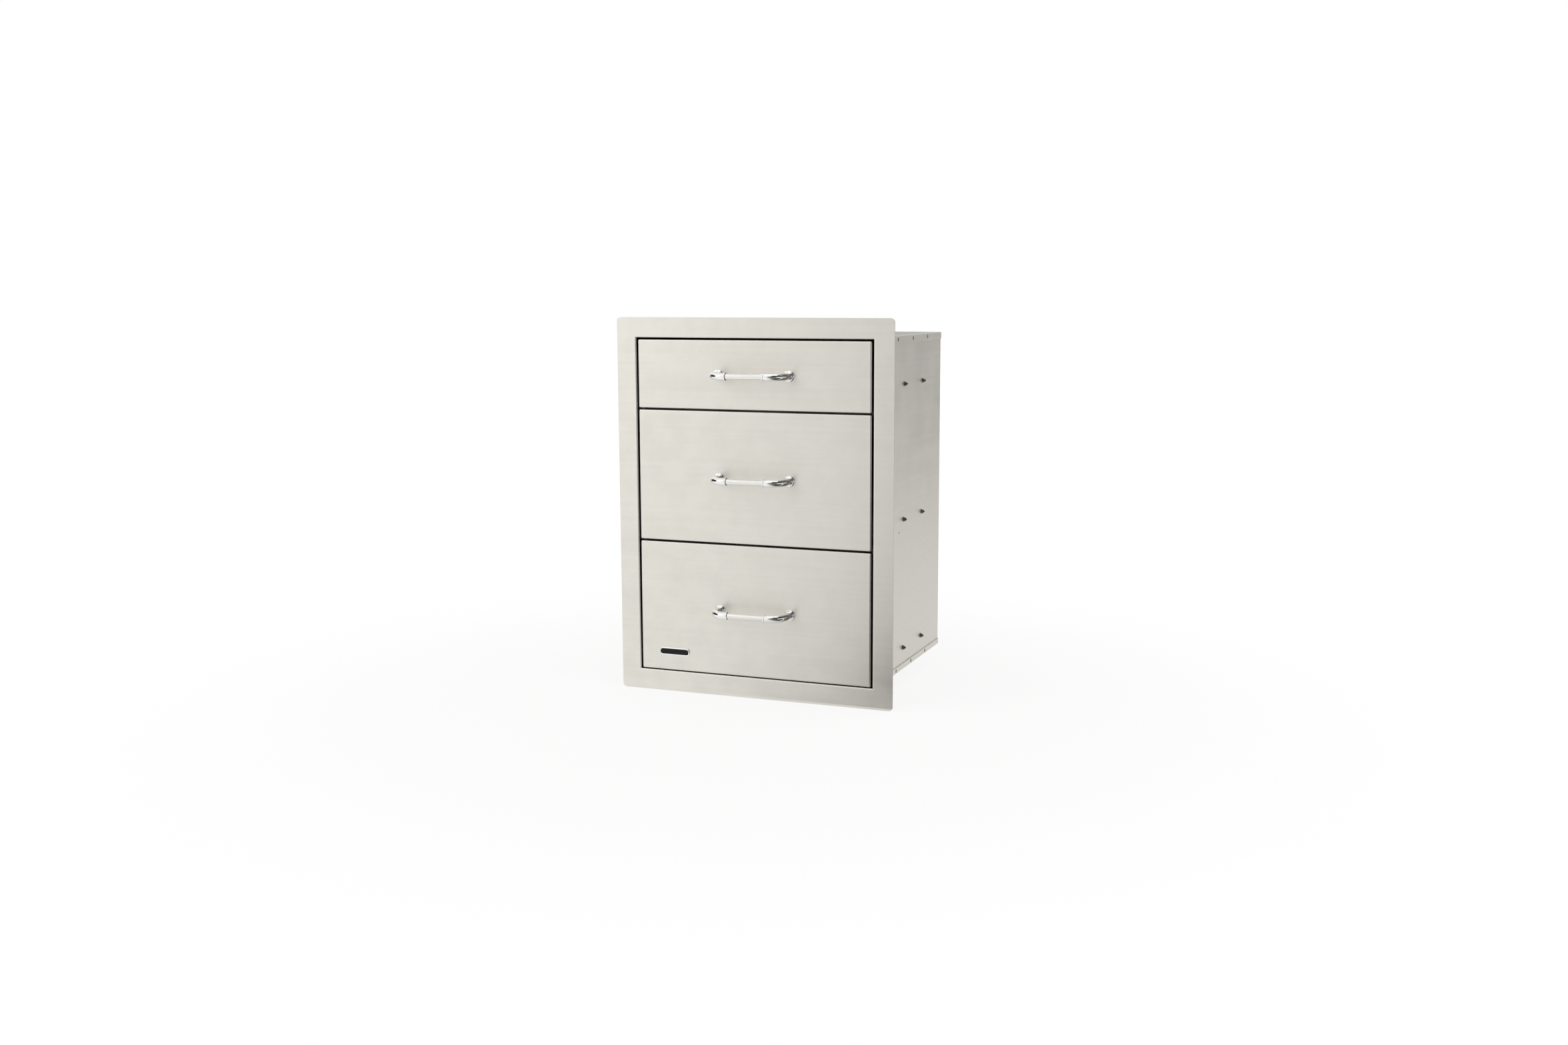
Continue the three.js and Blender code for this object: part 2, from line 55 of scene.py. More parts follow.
# Radius of a cut edge, distance within which seams merge, and angle from which an edge is sharp
cutEdge, seamDistance, sharpAngle = 0.0002, 1e-6, math.radians(32)
# Steps of a corner's and of a fold's arc, and, as shares of the corner's radius and of the sheet, the flat
# kept beside an arc and the radius of a folded sheet's free edges
cornerSteps, foldSteps, flatShare, freeShare = 5, 4, 0.2, 0.2


def nodeBox(name):
    low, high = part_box(name)
    return np.array(low), np.array(high)


def unit(vectors):
    return vectors / np.linalg.norm(vectors, axis=-1, keepdims=True)


# Outlines and surfaces

def roundCorners(corners, radii, steps=cornerSteps):
    # Each corner of a closed outline becomes an arc tangent to both of its sides. The arc's ends lie
    # radius / tan(half the corner's angle) from the corner, and the ray from the arc's centre turns evenly
    # from one end to the other. One more point on each side keeps the flats beside the arc flat.
    corners = np.asarray(corners, float)
    radii = np.broadcast_to(np.asarray(radii, float), corners.shape[:-1])[..., None]
    back = unit(np.roll(corners, 1, -2) - corners)
    ahead = unit(np.roll(corners, -1, -2) - corners)
    half = np.arccos(np.clip((back * ahead).sum(-1, keepdims=True), -1, 1)) / 2
    reach = radii / np.tan(half)
    centre = corners + unit(back + ahead) * radii / np.sin(half)
    first = (corners + back * reach - centre)[..., None, :]
    last = (corners + ahead * reach - centre)[..., None, :]
    turn = (np.pi - 2 * half)[..., None, :]
    share = np.linspace(0, 1, steps + 1)[:, None]
    arc = (np.sin(turn * (1 - share)) * first + np.sin(turn * share) * last) / np.sin(turn)
    arc = arc + centre[..., None, :]
    lead = reach + flatShare * radii
    before = (corners + back * lead)[..., None, :]
    after = (corners + ahead * lead)[..., None, :]
    return np.concatenate([before, arc, after], -2).reshape(*corners.shape[:-2], -1, 2)


def foldedOutline(path, sheet, bend):
    # The path is one face of a folded sheet. The other face lies one sheet to its left, where each corner
    # moves along the bisector by sheet * (n0 + n1) / (1 + n0.n1), with n the two sides' left normals.
    # A fold's inner side gets the bend's radius, its outer side that radius and one sheet more.
    path = np.asarray(path, float)
    along = unit(np.diff(path, axis=0))
    left = np.stack([-along[:, 1], along[:, 0]], 1)
    before, after = np.vstack([left[:1], left]), np.vstack([left, left[-1:]])
    offset = sheet * (before + after) / (1 + (before * after).sum(1, keepdims=True))
    turns = along[:-1, 0] * along[1:, 1] - along[:-1, 1] * along[1:, 0]
    inner, outer, free = bend, bend + sheet, freeShare * sheet
    pathRadii = np.r_[free, np.where(turns > 0, outer, inner), free]
    offsetRadii = np.r_[free, np.where(turns > 0, inner, outer), free]
    outline = np.vstack([path, (path + offset)[::-1]])
    return roundCorners(outline, np.r_[pathRadii, offsetRadii[::-1]], foldSteps)


def channelOutline(web, tip, bottom, top, sheet, bend):
    # A web with a flange at each end, and both flanges end at the tip
    path = [[tip, bottom], [web, bottom], [web, top], [tip, top]]
    return foldedOutline(path if web > tip else path[::-1], sheet, bend)


def shell(points, wrapRows=False, wrapColumns=True, caps=True):
    # A grid of points as quads: row i joins row i + 1 and column j joins column j + 1, and a wrapped side
    # comes back to its start. Caps close the first and the last row.
    rows, columns = points.shape[:2]
    row = np.arange(rows if wrapRows else rows - 1)[:, None]
    column = np.arange(columns if wrapColumns else columns - 1)[None, :]
    nextRow, nextColumn = (row + 1) % rows, (column + 1) % columns
    quads = np.stack([row * columns + column, nextRow * columns + column,
                      nextRow * columns + nextColumn, row * columns + nextColumn], -1)
    faces = quads.reshape(-1, 4).tolist()
    if caps and not wrapRows:
        faces += [list(range(columns)), list(range((rows - 1) * columns, rows * columns))]
    return points.reshape(-1, 3), faces


def carried(outline, axis, low, high):
    # An outline in the two other axes, carried straight along one axis of a box and closed at both ends
    points = np.empty((2, len(outline), 3))
    points[..., [other for other in range(3) if other != axis]] = outline
    points[..., axis] = np.array([low[axis], high[axis]])[:, None]
    return shell(points)


def framed(profile, low, high, cornerRadius, margins=(1, 1, 1, 1), wrapRows=False, outerRadius=None):
    # A profile of (inset, depth) carried round a rectangle in X and Z: each row is the rectangle drawn in by
    # its inset times the margins (left, right, bottom, top), with its corner radius drawn in as well
    inset, depth = np.asarray(profile, float).T
    left, bottom = low[0] + inset * margins[0], low[1] + inset * margins[2]
    right, top = high[0] - inset * margins[1], high[1] - inset * margins[3]
    corners = np.stack([right, top, left, top, left, bottom, right, bottom], 1).reshape(-1, 4, 2)
    if outerRadius is None:
        radius = np.maximum(cornerRadius - inset, cutEdge)
    else:
        radius = np.interp(-inset, [0, -inset.min()], [cornerRadius, outerRadius])
    loops = roundCorners(corners, radius[:, None])
    depths = np.broadcast_to(depth[:, None], loops.shape[:2])
    return shell(np.stack([loops[..., 0], depths, loops[..., 1]], -1), wrapRows=wrapRows)


def ringAngles(facets):
    return np.arange(facets) * 2 * np.pi / facets


def turned(profile, centre, axis, facets, shape=None):
    # A profile of (along, radius) turned about an axis through the centre. The shape, if given, takes the
    # angle and the place along the axis and returns the largest radius there.
    along, radius = np.asarray(profile, float).T
    angle = ringAngles(facets)
    radius = np.broadcast_to(radius[:, None], (len(along), facets))
    if shape is not None:
        radius = np.minimum(radius, shape(angle[None, :], along[:, None]))
    points = np.empty((len(along), facets, 3))
    across = [other for other in range(3) if other != axis]
    points[..., axis] = centre[axis] + along[:, None]
    points[..., across[0]] = centre[across[0]] + radius * np.cos(angle)
    points[..., across[1]] = centre[across[1]] + radius * np.sin(angle)
    return shell(points)


def softProfile(corners, radii):
    # An open profile with rounded corners: a closed outline whose last side isn't used
    return roundCorners(corners, radii, foldSteps)


def newObject(name, points, faces):
    mesh = bpy.data.meshes.new(name)
    mesh.from_pydata(points.tolist(), [], faces)
    thing = bpy.data.objects.new(name, mesh)
    bpy.context.scene.collection.objects.link(thing)
    return thing, mesh


def mergeSeams(mesh, outwards=True):
    work = bmesh.new()
    work.from_mesh(mesh)
    bmesh.ops.remove_doubles(work, verts=work.verts, dist=seamDistance)
    if outwards:
        bmesh.ops.recalc_face_normals(work, faces=work.faces)
    work.to_mesh(mesh)
    work.free()


def makePiece(name, shells, body, material, replaced=()):
    # All the shells become one mesh, with seams merged, poles closed and faces outwards
    vertices, faces, start = [], [], 0
    for points, shellFaces in shells:
        vertices.append(points)
        faces += [[index + start for index in face] for face in shellFaces]
        start += len(points)
    piece, mesh = newObject(name, np.concatenate(vertices), faces)
    mergeSeams(mesh)
    mesh.polygons.foreach_set("use_smooth", np.ones(len(mesh.polygons), bool))
    mesh.set_sharp_from_angle(angle=sharpAngle)
    mesh.materials.append(material)
    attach(piece, body)
    if replaced:
        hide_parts(*replaced)


# Shader groups and materials

def newGroup(name, inputs, outputs):
    # A node group whose inputs and outputs are all plain numbers
    group = bpy.data.node_groups.new(name, "ShaderNodeTree")
    for label, value in inputs.items():
        group.interface.new_socket(label, in_out="INPUT", socket_type="NodeSocketFloat").default_value = value
    for label in outputs:
        group.interface.new_socket(label, in_out="OUTPUT", socket_type="NodeSocketFloat")
    return group, group.nodes.new("NodeGroupInput").outputs, group.nodes.new("NodeGroupOutput").inputs


def addNode(tree, kind, settings=None, values=None, links=None):
    node = tree.nodes.new(kind)
    for key, value in (settings or {}).items():
        setattr(node, key, value)
    for key, value in (values or {}).items():
        node.inputs[key].default_value = value
    for key, source in (links or {}).items():
        tree.links.new(source, node.inputs[key])
    return node


def mapRange(tree, source, fromLow, fromHigh, toLow=0.0, toHigh=1.0):
    return addNode(tree, "ShaderNodeMapRange", {"interpolation_type": "SMOOTHSTEP"},
                   {"From Min": fromLow, "From Max": fromHigh, "To Min": toLow, "To Max": toHigh},
                   {"Value": source}).outputs["Result"]


def maths(tree, operation, first, second):
    node = addNode(tree, "ShaderNodeMath", {"operation": operation})
    for socket, value in zip(node.inputs, (first, second)):
        if isinstance(value, (int, float)):
            socket.default_value = value
        else:
            tree.links.new(value, socket)
    return node.outputs["Value"]


def objectPlace(tree):
    return addNode(tree, "ShaderNodeTexCoord").outputs["Object"]


def addNoise(tree, vector, values, links=None):
    # Links give a noise in four dimensions its scale and its seed
    settings = {"noise_dimensions": "4D"} if links else {}
    links = {"Vector": vector, **(links or {})}
    return addNode(tree, "ShaderNodeTexNoise", settings, values, links).outputs["Fac"]


# Turns and stretches are in X, Y and Z, and a range is where a smooth step begins and ends
groupLook = dict(
    streakStretch=(2.5, 2.5, 120), waveScale=0.3, scratchTurn=(0.4, 0.9, 0.3), scratchStretch=(9, 30, 120),
    scratchWidth=0.006, patchScale=14, patchRange=(0.52, 0.66))


def brushGrainGroup():
    # Fine lines that run level round the piece, and broader streaks in the same direction
    group, given, out = newGroup("brushGrain", {"Fineness": 2200.0, "Length": 14.0}, ("Lines", "Streaks"))
    place = objectPlace(group)
    stretch = addNode(group, "ShaderNodeCombineXYZ",
                      links={"X": given["Length"], "Y": given["Length"], "Z": given["Fineness"]})
    fine = addNode(group, "ShaderNodeVectorMath", {"operation": "MULTIPLY"},
                   links={0: place, 1: stretch.outputs["Vector"]})
    broad = addNode(group, "ShaderNodeVectorMath", {"operation": "MULTIPLY"},
                    {1: groupLook["streakStretch"]}, {0: place})
    lines = addNoise(group, fine.outputs["Vector"], {"Scale": 1.0, "Detail": 3.0, "Roughness": 0.6})
    streaks = addNoise(group, broad.outputs["Vector"], {"Scale": 1.0, "Detail": 5.0, "Roughness": 0.62})
    group.links.new(lines, out["Lines"])
    group.links.new(streaks, out["Streaks"])
    return group


def cloudGroup():
    # Soft cloudy patches, as the protective oil and handling leave on a satin sheet
    group, given, out = newGroup("softClouds", {"Scale": 22.0, "Seed": 0.0}, ("Clouds", "Waves"))
    place, scale, seed = objectPlace(group), given["Scale"], given["Seed"]
    slow = maths(group, "MULTIPLY", scale, groupLook["waveScale"])
    patches = addNoise(group, place, {"Detail": 4.0, "Roughness": 0.55}, {"Scale": scale, "W": seed})
    waves = addNoise(group, place, {"Detail": 1.0}, {"Scale": slow, "W": seed})
    group.links.new(patches, out["Clouds"])
    group.links.new(waves, out["Waves"])
    return group


def scratchGroup():
    # Hairline scratches: thin level sets of a stretched noise, kept where a second noise is high
    group, given, out = newGroup("hairScratches", {"Amount": 0.5}, ("Mask",))
    place = objectPlace(group)
    bent = addNode(group, "ShaderNodeMapping", values={
        "Rotation": groupLook["scratchTurn"], "Scale": groupLook["scratchStretch"]}, links={"Vector": place})
    level = addNoise(group, bent.outputs["Vector"], {"Scale": 1.0, "Detail": 1.0})
    near = maths(group, "ABSOLUTE", maths(group, "SUBTRACT", level, 0.5), 0.0)
    thin = mapRange(group, near, 0.0, groupLook["scratchWidth"], 1.0, 0.0)
    patches = addNoise(group, place, {"Scale": groupLook["patchScale"], "Detail": 2.0})
    kept = mapRange(group, patches, *groupLook["patchRange"])
    mask = maths(group, "MULTIPLY", maths(group, "MULTIPLY", thin, kept), given["Amount"])
    group.links.new(mask, out["Mask"])
    return group


grain, clouds, scratches = brushGrainGroup(), cloudGroup(), scratchGroup()


def newMaterial(name, settings):
    material = bpy.data.materials.new(name)
    material.use_nodes = True
    tree = material.node_tree
    shader = tree.nodes["Principled BSDF"]
    for key, value in settings.items():
        shader.inputs[key].default_value = value
    return material, tree, shader


def useGroup(tree, group, values):
    return addNode(tree, "ShaderNodeGroup", {"node_tree": group}, values).outputs


def tinted(tree, tone, look):
    # Between the look's dark and light colours
    return addNode(tree, "ShaderNodeMix", {"data_type": "RGBA"},
                   {"A": (*look["dark"], 1), "B": (*look["light"], 1)}, {"Factor": tone}).outputs["Result"]


def cloudyRoughness(tree, cloud, look, spread):
    limits = [look["rough"] * share for share in spread["roughShares"]]
    return mapRange(tree, cloud, *spread["range"], *limits)


def addBump(tree, shader, height):
    bump = addNode(tree, "ShaderNodeBump", None, {"Strength": 1.0, "Distance": 1.0}, {"Height": height})
    tree.links.new(bump.outputs["Normal"], shader.inputs["Normal"])


brushLook = dict(
    cloudShare=0.6, streakShare=0.4, toneRange=(0.36, 0.64), roughRange=(0.34, 0.66), scratchGloss=0.12)
polishLook = dict(seed=4, range=(0.35, 0.65), roughShares=(0.75, 1.3), scratchRough=0.15)
mouldLook = dict(cloudScale=160, seed=9, range=(0.3, 0.7), roughShares=(0.85, 1.15), coatRough=0.08)
plainMetal = dict(anisotropy=0, turn=0, lineHeight=4e-6)


def brushedMetal(name, look):
    # Satin sheet: the colour follows clouds and streaks a little, the roughness a little more, and the
    # lines and the sheet's slow waves tilt the reflection
    look = {**plainMetal, **look}
    material, tree, shader = newMaterial(name, {
        "Metallic": 1.0, "Anisotropic": look["anisotropy"], "Anisotropic Rotation": look["turn"]})
    lines = useGroup(tree, grain, {"Fineness": look["fineness"], "Length": look["length"]})
    cloud = useGroup(tree, clouds, {"Scale": look["cloudScale"], "Seed": look["seed"]})
    scratch = useGroup(tree, scratches, {"Amount": look["scratches"]})
    both = maths(tree, "ADD", maths(tree, "MULTIPLY", cloud["Clouds"], brushLook["cloudShare"]),
                 maths(tree, "MULTIPLY", lines["Streaks"], brushLook["streakShare"]))
    metal = tinted(tree, mapRange(tree, both, *brushLook["toneRange"]), look)
    # Painted shade on the returns behind the face, so that the gaps read dark
    if "gapShadeTone" in look:
        metal = paintGapShade(tree, metal, look)
    tree.links.new(metal, shader.inputs["Base Color"])
    rough = mapRange(tree, both, *brushLook["roughRange"], look["rough"] - look["roughSpread"],
                     look["rough"] + look["roughSpread"])
    gloss = maths(tree, "MULTIPLY", scratch["Mask"], brushLook["scratchGloss"])
    rough = maths(tree, "SUBTRACT", rough, gloss)
    rough = maths(tree, "ADD", rough, maths(tree, "MULTIPLY", lines["Lines"], look["lineRough"]))
    tree.links.new(rough, shader.inputs["Roughness"])
    addBump(tree, shader, maths(tree, "ADD", maths(tree, "MULTIPLY", lines["Lines"], look["lineHeight"]),
                                maths(tree, "MULTIPLY", cloud["Waves"], look["waveHeight"])))
    return material


def paintGapShade(tree, metal, look):
    # Painted shade in the gaps: on the returns behind the fronts' and the flange's faces the colour is
    # scaled by 1 up to the return's start and falls smoothly to the look's shade tone over the fade
    axes = addNode(tree, "ShaderNodeSeparateXYZ", links={"Vector": objectPlace(tree)})
    start = frontFaceY + look["gapShadeStart"]
    left = mapRange(tree, axes.outputs["Y"], start, start + look["gapShadeFade"], 1.0, look["gapShadeTone"])
    paintedShade = addNode(tree, "ShaderNodeVectorMath", {"operation": "SCALE"}, links={0: metal, "Scale": left})
    return paintedShade.outputs["Vector"]


def polishedMetal(name, look):
    # Bright metal: faint clouds in the roughness and a very shallow waviness
    look = {**plainMetal, **look}
    material, tree, shader = newMaterial(name, {
        "Base Color": (*look["colour"], 1), "Metallic": 1.0, "Anisotropic": look["anisotropy"],
        "Anisotropic Rotation": look["turn"]})
    cloud = useGroup(tree, clouds, {"Scale": look["cloudScale"], "Seed": polishLook["seed"]})
    scratch = useGroup(tree, scratches, {"Amount": look["scratches"]})
    rough = cloudyRoughness(tree, cloud["Clouds"], look, polishLook)
    marks = maths(tree, "MULTIPLY", scratch["Mask"], polishLook["scratchRough"])
    tree.links.new(maths(tree, "ADD", rough, marks), shader.inputs["Roughness"])
    addBump(tree, shader, maths(tree, "MULTIPLY", cloud["Waves"], look["waveHeight"]))
    return material


def mouldedMaterial(name, look):
    # Enamel, nylon or rubber: one colour with a slight cloudiness, and the shader's own coat
    material, tree, shader = newMaterial(name, {
        "Coat Weight": look["coat"], "Coat Roughness": mouldLook["coatRough"],
        "Specular IOR Level": look["specular"]})
    cloud = useGroup(tree, clouds, {"Scale": mouldLook["cloudScale"], "Seed": mouldLook["seed"]})["Clouds"]
    tone = mapRange(tree, cloud, *mouldLook["range"])
    tree.links.new(tinted(tree, tone, look), shader.inputs["Base Color"])
    tree.links.new(cloudyRoughness(tree, cloud, look, mouldLook), shader.inputs["Roughness"])
    return material


# The front steel's returns behind the fronts' and the flange's faces get painted shade for the gaps
frontSteel = brushedMetal("frontSteel", dict(
    dark=(0.71, 0.687, 0.634), light=(0.76, 0.736, 0.679), rough=0.36, roughSpread=0.04, gapShadeTone=0.55,
    gapShadeStart=0.0012, gapShadeFade=0.004, anisotropy=0.6, turn=0.25, fineness=2200, length=16,
    cloudScale=22, seed=1, scratches=0.25, lineRough=0.05, lineHeight=6e-6, waveHeight=0.00012))
bodySteel = brushedMetal("bodySteel", dict(
    dark=(0.655, 0.636, 0.582), light=(0.72, 0.70, 0.642), rough=0.44, roughSpread=0.05, anisotropy=0.3,
    turn=0.25, fineness=1500, length=30, cloudScale=16, seed=2, scratches=0.5, lineRough=0.06,
    lineHeight=6e-6, waveHeight=0.0002))
# The rails' near-black colour is painted shade, which keeps the gaps between the fronts dark
railPaintedShade = brushedMetal("railPaintedShade", dict(
    dark=(0.17, 0.165, 0.155), light=(0.23, 0.225, 0.21), rough=0.55, roughSpread=0.06, turn=0.25,
    fineness=1200, length=30, cloudScale=30, seed=7, scratches=0.3, lineRough=0.06,
    lineHeight=6e-6, waveHeight=0.0001))
slideSteel = brushedMetal("slideSteel", dict(
    dark=(0.47, 0.49, 0.51), light=(0.60, 0.62, 0.64), rough=0.34, roughSpread=0.07, anisotropy=0.4,
    fineness=1800, length=12, cloudScale=60, seed=3, scratches=0.9, lineRough=0.05,
    waveHeight=0.00005))
nutZinc = brushedMetal("nutZinc", dict(
    dark=(0.11, 0.106, 0.097), light=(0.19, 0.184, 0.17), rough=0.42, roughSpread=0.08, fineness=900,
    length=300, cloudScale=300, seed=5, scratches=0.4, lineRough=0.1, waveHeight=0.00002))
weldTint = brushedMetal("weldTint", dict(
    dark=(0.20, 0.185, 0.16), light=(0.33, 0.31, 0.275), rough=0.5, roughSpread=0.06, fineness=700,
    length=300, cloudScale=240, seed=6, scratches=0.2, lineRough=0.08, waveHeight=0.00002))
handleChrome = polishedMetal("handleChrome", dict(
    colour=(0.86, 0.86, 0.845), rough=0.07, cloudScale=60, scratches=0.2, waveHeight=0.00003))
barSteel = polishedMetal("barSteel", dict(
    colour=(0.80, 0.785, 0.75), rough=0.24, anisotropy=0.3, turn=0.25, cloudScale=40, scratches=0.15,
    waveHeight=0.000004))
ballSteel = polishedMetal("ballSteel", dict(
    colour=(0.72, 0.72, 0.72), rough=0.08, cloudScale=400, scratches=0, waveHeight=0.00001))
badgeEnamel = mouldedMaterial("badgeEnamel", dict(
    dark=(0.006, 0.006, 0.007), light=(0.010, 0.010, 0.011), rough=0.22, coat=0.1, specular=0.15))
# Pale rivet heads: their pale colour is a painted glint in the dark gaps between the fronts
rivetPaintedGlint = mouldedMaterial("rivetPaintedGlint", dict(
    dark=(0.84, 0.83, 0.80), light=(0.92, 0.91, 0.88), rough=0.3, coat=0.3, specular=0.5))
bumperRubber = mouldedMaterial("bumperRubber", dict(
    dark=(0.05, 0.05, 0.05), light=(0.08, 0.08, 0.078), rough=0.6, coat=0, specular=0.4))
print("materials made")

# Face frame

frameShape = dict(
    sheet=0.0012, foldRadius=0.0013, openingCorner=0.0006, flangeCorner=0.008, edgeRadius=0.0003,
    frontGap=0.0034, bottomGap=0.0018)
flangeLow, flangeHigh = nodeBox("face_frame")
lowerLow, upperHigh = nodeBox("lower_drawer_front")[0], nodeBox("upper_drawer_front")[1]
openingLow = np.array([lowerLow[0] - frameShape["frontGap"], lowerLow[2] - frameShape["bottomGap"]])
openingHigh = np.array([upperHigh[0], upperHigh[2]]) + frameShape["frontGap"]


def makeFaceFrame():
    # A profile of distance from the opening and depth: down the jamb's inside, round the fold, across the
    # flange, round its edge and back to the jamb's outside, carried round the opening as a closed ring
    sheet, bend = frameShape["sheet"], frameShape["foldRadius"]
    side = openingLow[0] - flangeLow[0]
    bottom, top = openingLow[1] - flangeLow[2], flangeHigh[2] - openingHigh[1]
    profile = softProfile(
        [[0, flangeHigh[1]], [0, frontFaceY], [-side, frontFaceY], [-side, frontFaceY + sheet],
         [-sheet, frontFaceY + sheet], [-sheet, flangeHigh[1]]],
        [cutEdge, bend + sheet, frameShape["edgeRadius"], frameShape["edgeRadius"], bend, cutEdge])
    ring = framed(profile, openingLow, openingHigh, frameShape["openingCorner"],
                  (1, 1, bottom / side, top / side), True, frameShape["flangeCorner"])
    makePiece("faceFrame", [ring], "cabinet", frontSteel, ["face_frame"])


makeFaceFrame()
print("face frame made")

# Body: the CAD's side panels stay, and the folded sheets get their bends

bodyShape = dict(
    sheet=0.001, lipSheet=0.0015, bend=0.0008, inset=0.02, rearCorner=0.0025, lipEdge=0.0003,
    backFlange=0.012, weldRadius=0.0040, weldHeight=0.00022, weldDish=0.25, weldPower=1.6, sideWelds=3,
    weldPitch=0.096, weldStart=0.134, rearWelds=6, rearWeldMargin=0.04, weldFacets=28, weldRings=9,
    rivetRadius=0.0024, rivetHeight=0.0011, rivetInset=0.0045, rivetFacets=24)
for side in sideSigns:
    panel = nodes[f"{side}_side_panel"]
    panel.data.materials.clear()
    panel.data.materials.append(bodySteel)


def makeLippedPanel(node, direction):
    # The profile of (inset, height) goes over the sheet's fold, down the lip and back inside it. It is
    # carried along a U: one side, the back and the other side. Flats close the sheet and its front edge.
    low, high = nodeBox(node)
    outside, lipEdge = (high[2], low[2]) if direction > 0 else (low[2], high[2])
    sheet, bend, inset, edge = (bodyShape[key] for key in ("lipSheet", "bend", "inset", "lipEdge"))
    seat = outside - direction * sheet
    high[1] -= bodyShape["weldHeight"]
    profile = softProfile(
        [[inset, outside], [0, outside], [0, lipEdge], [sheet, lipEdge], [sheet, seat], [inset, seat]],
        [0, bend + sheet, edge, edge, bend, 0])
    drawnIn, height = profile.T
    left, right, front, rear = low[0] + drawnIn, high[0] - drawnIn, low[1] + 0 * drawnIn, high[1] - drawnIn
    corners = np.stack([right, front, right, rear, left, rear, left, front], 1).reshape(-1, 4, 2)
    radius = np.maximum(bodyShape["rearCorner"] - drawnIn, cutEdge)
    radii = np.stack([0 * radius, radius, radius, 0 * radius], 1)
    path = roundCorners(corners, radii)
    heights = np.broadcast_to(height[:, None], path.shape[:2])
    points, faces = shell(np.concatenate([path, heights[..., None]], -1), wrapColumns=False)
    index = np.arange(len(points)).reshape(path.shape[:2])
    faces.append(index[:, 0].tolist() + index[::-1, -1].tolist())
    name = "topPanel" if direction > 0 else "bottomPanel"
    makePiece(name, [(points, faces)], "cabinet", bodySteel, [node])


def makeBackPanel():
    # A flat sheet, and at each side an angle with one leg on the sheet and one along the side panel
    low, high = nodeBox("back_panel")
    sheet, insideX = bodyShape["sheet"], nodeBox("right_side_panel")[0][0]
    seat = high[1] - sheet
    plate = roundCorners([[low[0], seat], [high[0], seat], [high[0], high[1]], [low[0], high[1]]], cutEdge)
    shells = [carried(plate, 2, low, high)]
    for sign in signs:
        wall, tip = sign * insideX, sign * (insideX - bodyShape["backFlange"])
        outline = foldedOutline([[wall, low[1]], [wall, seat], [tip, seat]][::sign], sheet, bodyShape["bend"])
        shells.append(carried(outline, 2, low + sheet, high - sheet))
    makePiece("backPanel", shells, "cabinet", bodySteel, ["back_panel"])


def makeDividerRail(rail):
    # A channel that opens to the back, with a rivet near each end of its front. The rivets' pale colour is a
    # painted glint at the gaps' ends.
    node = f"{rail}_divider_rail"
    low, high = nodeBox(node)
    outline = channelOutline(low[1], high[1], low[2], high[2], bodyShape["sheet"], bodyShape["bend"])
    # The channel's dark colour is painted shade for the gaps
    makePiece(f"{rail}Rail", [carried(outline, 0, low, high)], "cabinet", railPaintedShade, [node])
    head = domeProfile(bodyShape["rivetRadius"], bodyShape["rivetHeight"]) * [-1, 1]
    rivets = [turned(head, [sign * (high[0] - bodyShape["rivetInset"]), low[1], (low[2] + high[2]) / 2], 1,
                     bodyShape["rivetFacets"]) for sign in signs]
    makePiece(f"{rail}RailRivets", rivets, "cabinet", rivetPaintedGlint)


def domeProfile(radius, height, steps=8):
    # A quarter of an ellipse from the rim to the pole, closed by a flat at the bottom
    turn = np.linspace(0, np.pi / 2, steps)
    dome = np.stack([height * np.sin(turn), radius * np.cos(turn)], 1)
    return np.vstack([[0, 0], dome])


def makeWelds():
    # A spot weld: a shallow dish with a raised ring. At the share s of its radius its height is
    # weldHeight * (dish + (1 - dish) * sin(pi * s ** power)), and 0 at the rim.
    share = np.linspace(1, 0, bodyShape["weldRings"])
    radius, dish, facets = bodyShape["weldRadius"], bodyShape["weldDish"], bodyShape["weldFacets"]
    rise = bodyShape["weldHeight"] * (dish + (1 - dish) * np.sin(np.pi * share ** bodyShape["weldPower"]))
    rise[0] = 0
    ring = np.vstack([[0, 0], np.stack([rise, radius * share], 1)])
    shells = []
    for node in ("top_panel", "bottom_panel"):
        low, high = nodeBox(node)
        height = (low[2] + high[2]) / 2
        for place in np.arange(bodyShape["sideWelds"]) * bodyShape["weldPitch"] + bodyShape["weldStart"]:
            shells += [turned(ring * [sign, 1], [sign * high[0], place + frontFaceY, height], 0, facets)
                       for sign in signs]
        margin, rear = bodyShape["rearWeldMargin"], high[1] - bodyShape["weldHeight"]
        for place in np.linspace(low[0] + margin, high[0] - margin, bodyShape["rearWelds"]):
            shells.append(turned(ring, [place, rear, height], 1, facets))
    makePiece("spotWelds", shells, "cabinet", weldTint)


makeLippedPanel("top_panel", 1)
makeLippedPanel("bottom_panel", -1)
makeBackPanel()
for rail in rails:
    makeDividerRail(rail)
makeWelds()
print("body made")

# Slides

slideShape = dict(
    height=0.045, sheet=0.0012, bend=0.0009, cageSheet=0.0007, cageBend=0.0004, cageEnd=0.007,
    cageEdge=0.0004, ballRadius=0.0022, ballPitch=0.0125, ballRings=6, ballFacets=8)
nutShape = dict(
    screws=3, inset=0.0368, pitch=0.119, facets=48, width=0.007, height=0.004, flange=0.0047,
    flangeHeight=0.0009, flangeSlope=0.0003, corner=0.0041, cutCorner=0.00392, cone=0.0006, end=0.0034,
    land=0.0001, bore=0.0022, screw=0.002, tip=0.0026, tipCone=0.0004, tipDraw=0.0006, threadPitch=0.0007,
    threadSink=0.00016, threadDepth=0.00014, threadRings=25)


def slideMiddle(node):
    # An outer member's node also holds its nuts, so its height is taken from the inner member
    low, high = nodeBox(node.replace("outer", "inner"))
    return (low[2] + high[2]) / 2


